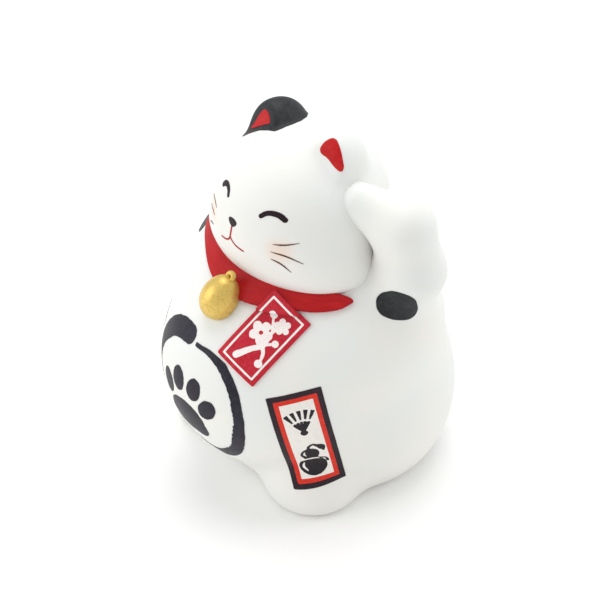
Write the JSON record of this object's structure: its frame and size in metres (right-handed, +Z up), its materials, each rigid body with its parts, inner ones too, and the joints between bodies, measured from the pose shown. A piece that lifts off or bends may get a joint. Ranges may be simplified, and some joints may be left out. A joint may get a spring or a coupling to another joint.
{
  "type": "beckoning cat figurine",
  "caption": "Seated round white ceramic cat that raises one paw, with a red collar, a gold bell, a hanging charm plaque, flank labels and a brushed ring on the belly.",
  "frame": {"origin": "centre of the flat base, on the surface that the figurine stands on", "axes": "+Z up, the cat faces -Y, its raised left arm is on +X"},
  "size_m": [0.0941, 0.103, 0.1231],
  "materials": {
    "white_glaze": "matte white decorated ceramic",
    "collar_red": "satin red overglaze",
    "bell_gold": "brushed gold lustre over ceramic",
    "tag_red": "satin red overglaze",
    "tag_white": "white transfer",
    "ink_black": "soft black underglaze brushwork",
    "label_aubergine": "dark aubergine transfer",
    "label_orange_red": "orange-red transfer",
    "label_white": "off-white transfer ground",
    "label_ink": "black transfer",
    "face_black": "black overglaze line",
    "mouth_red": "deep red overglaze line",
    "whisker_brown": "dark brown fine line",
    "cheek_blush": "soft peach blush, sprayed thin",
    "ear_red": "satin red overglaze",
    "patch_black": "matte black underglaze patch"
  },
  "bodies": {
    "root": {"arm_spot": "patch_black", "bell_body": "bell_gold", "bell_loop": "bell_gold", "belly_paw_print": "ink_black", "belly_ring": "ink_black", "charm_tag": "tag_red", "charm_tag_blossom": "tag_white", "charm_tag_line": "tag_white", "collar_band": "collar_red", "head_shell": "white_glaze", "left_blush": "cheek_blush", "left_ear_lining": "ear_red", "left_eye_line": "face_black", "left_label_fan": "label_ink", "left_label_gourd": "label_ink", "left_label_ground": "label_white", "left_label_inner_frame": "label_orange_red", "left_label_outer_frame": "label_aubergine", "left_whiskers": "whisker_brown", "mouth_line": "mouth_red", "nose": "face_black", "raised_arm": "white_glaze", "right_blush": "cheek_blush", "right_ear_lining": "ear_red", "right_ear_patch": "patch_black", "right_eye_line": "face_black", "right_label_fan": "label_ink", "right_label_gourd": "label_ink", "right_label_ground": "label_white", "right_label_inner_frame": "label_orange_red", "right_label_outer_frame": "label_aubergine", "right_whiskers": "whisker_brown", "shoulder_spot": "patch_black", "tail": "white_glaze", "tail_patch": "patch_black", "torso_shell": "white_glaze"}
  },
  "joints": []
}
